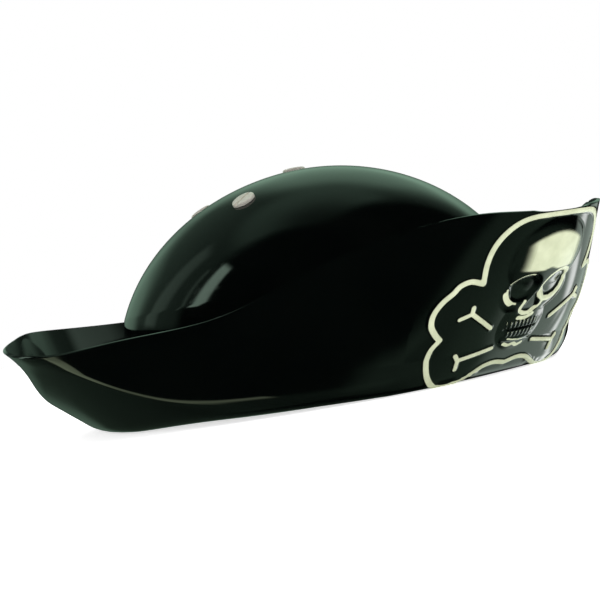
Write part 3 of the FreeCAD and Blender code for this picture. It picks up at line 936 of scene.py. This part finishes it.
# %% Forehead pad
PAD_HALF_WIDTH, PAD_THICK, PAD_LOW, PAD_HIGH = 44.5, 2.9, 8.2, 31.8
PAD_GAP = 0.05
PAD_CHANNELS = np.linspace(-30, 30, 5)
SEAM_DEPTH, SEAM_WIDE = 0.45, 1.6
wide = np.linspace(-1, 1, 91)
tall = np.linspace(-1, 1, 31)
pad_x = wide * PAD_HALF_WIDTH
pad_turns = math.pi - np.arcsin(pad_x / BAND_HALF_WIDTH)
seams = 1 - sum(SEAM_DEPTH * np.exp(-((pad_x - c) / SEAM_WIDE) ** 2) for c in PAD_CHANNELS)
fullness = (1 - np.abs(wide) ** 10) ** 0.5 * seams
swelling = (1 - np.abs(tall) ** 5) ** 0.5
pad_heights = (PAD_LOW + PAD_HIGH) / 2 + tall * (PAD_HIGH - PAD_LOW) / 2
face_side = [
    round_the_band(-PAD_GAP - (PAD_THICK - PAD_GAP) * swell_here * fullness, height, pad_turns)
    for height, swell_here in zip(pad_heights, swelling)]
back_side = [round_the_band(-PAD_GAP + 0 * fullness, height, pad_turns)
             for height in pad_heights[::-1]]
pad_piece = curved_sheet("forehead_cushion", np.array(face_side + back_side[1:]) * MM)
merge_and_turn_out(pad_piece)
smooth(pad_piece, 70)
hand_over(pad_piece, "foam_cloth", pad_cloth, "forehead_pad")

# %% [markdown]
# Washers, barrel nuts and rivets keep their exact forms from the frame and
# only need their metal.

# %% Small metal parts
small_parts = [
    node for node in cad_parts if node.startswith(("washer_", "barrel_nut_", "rivet_"))]
for node in small_parts:
    part = bpy.data.objects[node]
    part.data.materials.clear()
    part.data.materials.append(nickel if node.startswith("rivet_") else zinc)
print(len(small_parts), "small metal parts")

# %% [markdown]
# The hat stands on a white board that is lit from below, as on a product
# photographer's table.  The glow lifts the board almost to paper white and
# leaves only a trace of shadow.  The board is kept out of the reflections,
# which come from the surroundings instead.

# %% Floor
BOARD_GLOW = 0.7
bpy.ops.object.select_all(action="DESELECT")
bpy.ops.mesh.primitive_plane_add(size=6)
floor = bpy.context.object
floor.name = "floor"
matt_white, tree, shader = start_material("matt white board")
shader.inputs["Base Color"].default_value = colour("#ffffff")
shader.inputs["Roughness"].default_value = 0.9
shader.inputs["Emission Color"].default_value = colour("#ffffff")
shader.inputs["Emission Strength"].default_value = BOARD_GLOW
floor.data.materials.append(matt_white)
floor.visible_glossy = False
print("board glows at", BOARD_GLOW)

# %% [markdown]
# One large lamp overhead gives the cream paint and the screws their light.

# %% Overhead lamp
lamp_data = bpy.data.lights.new("overhead", "AREA")
lamp_data.shape = "DISK"
lamp_data.size = 2.5
lamp_data.energy = 14
lamp = bpy.data.objects.new("overhead", lamp_data)
bpy.context.scene.collection.objects.link(lamp)
lamp.location = (0.3, -0.6, 2.2)
lamp.rotation_euler = (-lamp.location).to_track_quat("-Z", "Y").to_euler()
lamp.visible_glossy = False
print("lamp of", lamp_data.energy, "W")

# %% [markdown]
# Gloss black shows almost nothing of its own, only what it mirrors, so the
# surroundings are what draws the hat.  They could be real boards and windows
# round it, but those would also light the table.  Here they are soft-edged
# panels on the sky that only reflections see: the camera sees white, and
# matt surfaces are lit by an even white.

# %% Panels round the hat
world = bpy.data.worlds.new("studio")
bpy.context.scene.world = world
world.use_nodes = True
sky = world.node_tree
sky.nodes.clear()
heading = add_node(sky, "ShaderNodeTexCoord").outputs["Generated"]


def dot_with(way):
    """How far the sky's direction points along a way."""
    return add_node(sky, "ShaderNodeVectorMath", {0: heading, 1: tuple(way)},
                    operation="DOT_PRODUCT").outputs["Value"]


def step_at(value, low, high, top=1.0):
    """0 below `low`, `top` above `high`, and an S-shaped slope between them."""
    return add_node(sky, "ShaderNodeMapRange",
                    {"Value": value, "From Min": low, "From Max": high, "To Max": top},
                    interpolation_type="SMOOTHSTEP").outputs[0]


def multiply(a, b):
    return add_node(sky, "ShaderNodeMath", {0: a, 1: b}, operation="MULTIPLY").outputs[0]


def level_way(azimuth):
    """A level direction, counted in degrees from +Y towards +X."""
    a = math.radians(azimuth)
    return Vector((math.sin(a), math.cos(a), 0))


def panel(left, right, low, high, strength, blur):
    """A soft-edged bright patch, between two azimuths and two elevations in degrees."""
    soft = math.sin(math.radians(blur))
    glow = step_at(dot_with(level_way(left + 90)), -soft, soft, strength)
    glow = multiply(glow, step_at(dot_with(level_way(right - 90)), -soft, soft))
    height = dot_with((0, 0, 1))
    for edge, way in ((low, 1), (high, -1)):
        level = math.sin(math.radians(edge))
        glow = multiply(glow, step_at(height, level - way * soft, level + way * soft))
    return glow


ROOM_GREEN, WINDOW_GREEN, BOARD_GREEN = "#cfffe0", "#dcffe8", "#cfffd9"
FOLD_GREEN, FLAP_WHITE, WHITE = "#ecffd2", "#eafff0", "#ffffff"
# left and right azimuth, low and high elevation, strength, blur, tint
PANELS = {
    "wall behind the dome": (-38, 82, 6, 76, 0.12, 5.0, ROOM_GREEN),
    "ceiling edge": (-34, 80, 57, 76, 0.15, 3.0, ROOM_GREEN),
    "dome's bright top": (30, 70, 15, 52, 0.45, 7.0, ROOM_GREEN),
    "dome's left edge": (0, 26, 0, 22, 0.3, 6.0, ROOM_GREEN),
    "window": (-50, -41, 24, 50, 2.1, 1.0, WINDOW_GREEN),
    "window's narrow pane": (-35, -33, 20, 44, 0.3, 0.8, WINDOW_GREEN),
    "curtain": (-21, -11, 8, 46, 0.2, 2.0, WINDOW_GREEN),
    "lip's upper edge": (-12, 45, -18, -2, 0.12, 5.0, ROOM_GREEN),
    "crease from the tip": (-66, -24, -56, -44, 1.3, 2.0, FOLD_GREEN),
    "crease along the side": (-104, -40, -63, -57, 1.1, 1.5, FOLD_GREEN),
    "table before the lip": (-60, 50, -62, -12, 0.05, 6.0, BOARD_GREEN),
    "table under the lip": (-170, 0, -95, -63, 0.1, 5.0, BOARD_GREEN),
    "table before the flap": (88, 210, -78, -25, 0.2, 7.0, BOARD_GREEN),
    "flap's far side": (60, 99, -45, -8, 0.9, 4.0, FLAP_WHITE),
    "forehead's upper glint": (84, 93, -31, -25, 3.5, 2.0, WHITE),
    "forehead's lower glint": (58, 80, -28, -24, 2.2, 2.0, WHITE),
    "inside of the brim": (104, 130, 14, 28, 0.7, 5.0, WINDOW_GREEN),
    "back of the room": (50, 105, 4, 24, 0.12, 4.0, ROOM_GREEN),
}
surroundings = None
for *patch, tint in PANELS.values():
    glow = add_node(sky, "ShaderNodeVectorMath", {0: colour(tint)[:3], "Scale": panel(*patch)},
                    operation="SCALE").outputs[0]
    if surroundings is not None:
        glow = add_node(sky, "ShaderNodeVectorMath", {0: surroundings, 1: glow},
                        operation="ADD").outputs[0]
    surroundings = glow
print(len(PANELS), "panels")

# %% What each ray sees
path = add_node(sky, "ShaderNodeLightPath")
mirrored = add_node(sky, "ShaderNodeBackground", {"Color": surroundings, "Strength": 1.0})
seen = add_node(sky, "ShaderNodeBackground", {"Color": colour(WHITE), "Strength": 1.0})
lit = add_node(sky, "ShaderNodeBackground", {"Color": colour(WHITE), "Strength": 1.2})
bounced = add_node(sky, "ShaderNodeMixShader",
                   {"Fac": path.outputs["Is Glossy Ray"], 1: lit.outputs[0],
                    2: mirrored.outputs[0]})
choice = add_node(sky, "ShaderNodeMixShader",
                  {"Fac": path.outputs["Is Camera Ray"], 1: bounced.outputs[0],
                   2: seen.outputs[0]})
add_node(sky, "ShaderNodeOutputWorld", {"Surface": choice.outputs[0]})
bpy.context.scene.view_settings.view_transform = "Standard"
print("view transform", bpy.context.scene.view_settings.view_transform)
